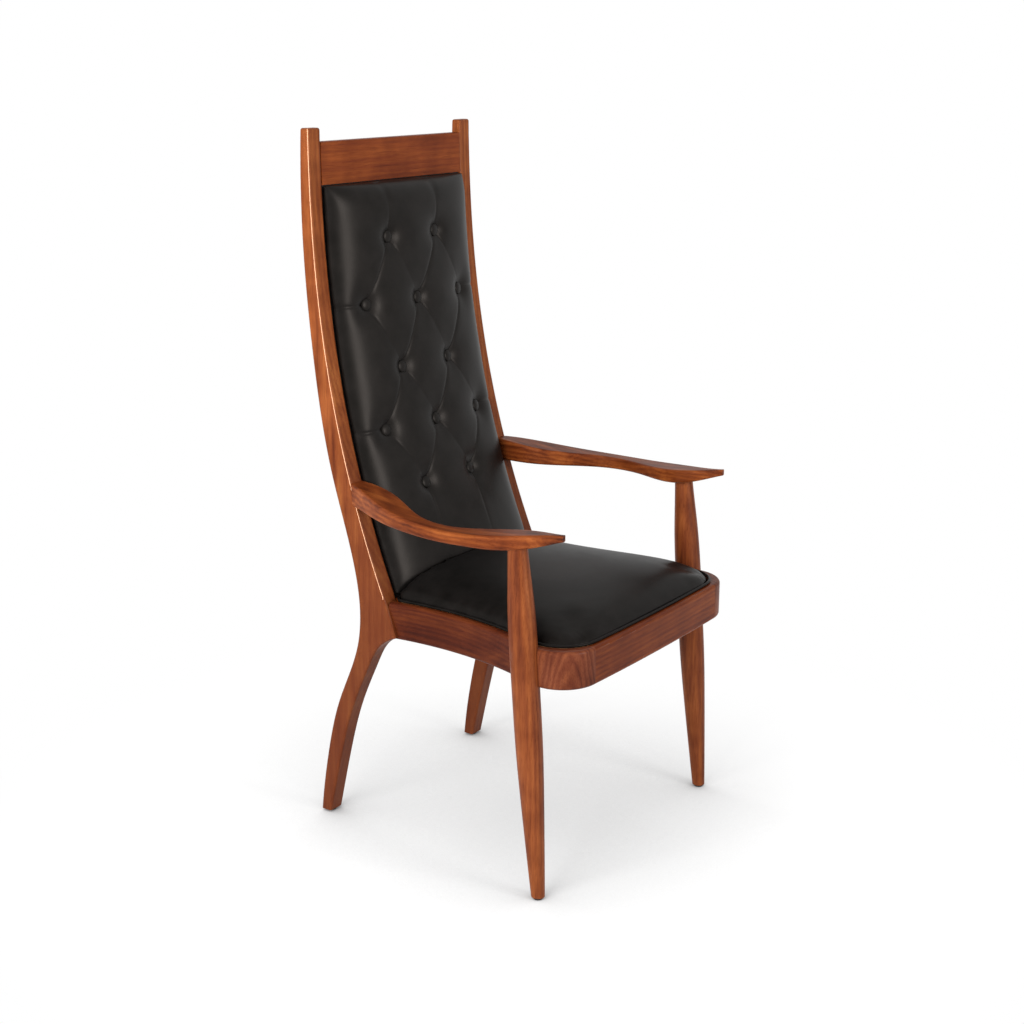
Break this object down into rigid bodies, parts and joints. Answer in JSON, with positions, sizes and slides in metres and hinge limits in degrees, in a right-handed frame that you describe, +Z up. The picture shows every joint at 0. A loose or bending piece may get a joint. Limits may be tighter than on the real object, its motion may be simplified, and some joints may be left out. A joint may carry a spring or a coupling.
{
  "type": "dining armchair",
  "caption": "High-back wooden dining armchair with curved back posts, carved bowed arms, turned front legs, a buttoned black leather back pad and a drop-in leather seat.",
  "frame": {"origin": "on the floor, in the middle of the chair's outline", "axes": "+Z up, the sitter faces -Y, +X is the sitter's left"},
  "size_m": [0.5992, 0.5859, 1.2241],
  "materials": {
    "lacquered_wood": "satin lacquer, red-brown stain",
    "plain_wood": "planed, unfinished",
    "plywood": "sanded, unfinished",
    "black_plywood": "stained black, matt",
    "black_leather": "smooth, soft satin",
    "foam": "open-cell upholstery foam",
    "bottom_cloth": "thin matt cloth",
    "twine": "waxed twine",
    "steel": "zinc plated",
    "glide_plastic": "matt black"
  },
  "bodies": {
    "root": {"left_back_post": "lacquered_wood", "right_back_post": "lacquered_wood", "left_side_rail": "lacquered_wood", "right_side_rail": "lacquered_wood", "left_front_corner": "lacquered_wood", "right_front_corner": "lacquered_wood", "left_front_leg": "lacquered_wood", "right_front_leg": "lacquered_wood", "left_arm": "lacquered_wood", "right_arm": "lacquered_wood", "front_rail": "lacquered_wood", "crest_rail": "lacquered_wood", "back_seat_rail": "lacquered_wood", "left_front_brace": "plain_wood", "right_front_brace": "plain_wood", "left_rear_brace": "plain_wood", "right_rear_brace": "plain_wood", "seat_cleat": "plain_wood", "rail_dowels": "plain_wood", "arm_dowels": "plain_wood", "seat_board": "plywood", "back_board": "black_plywood", "seat_cover": "black_leather", "back_cover": "black_leather", "seat_welt": "black_leather", "tuft_buttons": "black_leather", "outside_back_panel": "black_leather", "seat_foam": "foam", "back_foam": "foam", "seat_bottom_cloth": "bottom_cloth", "tuft_twines": "twine", "leg_bolts": "steel", "brace_screws": "steel", "seat_screws": "steel", "cleat_screws": "steel", "tuft_washers": "steel", "foot_glides": "glide_plastic"}
  },
  "joints": []
}
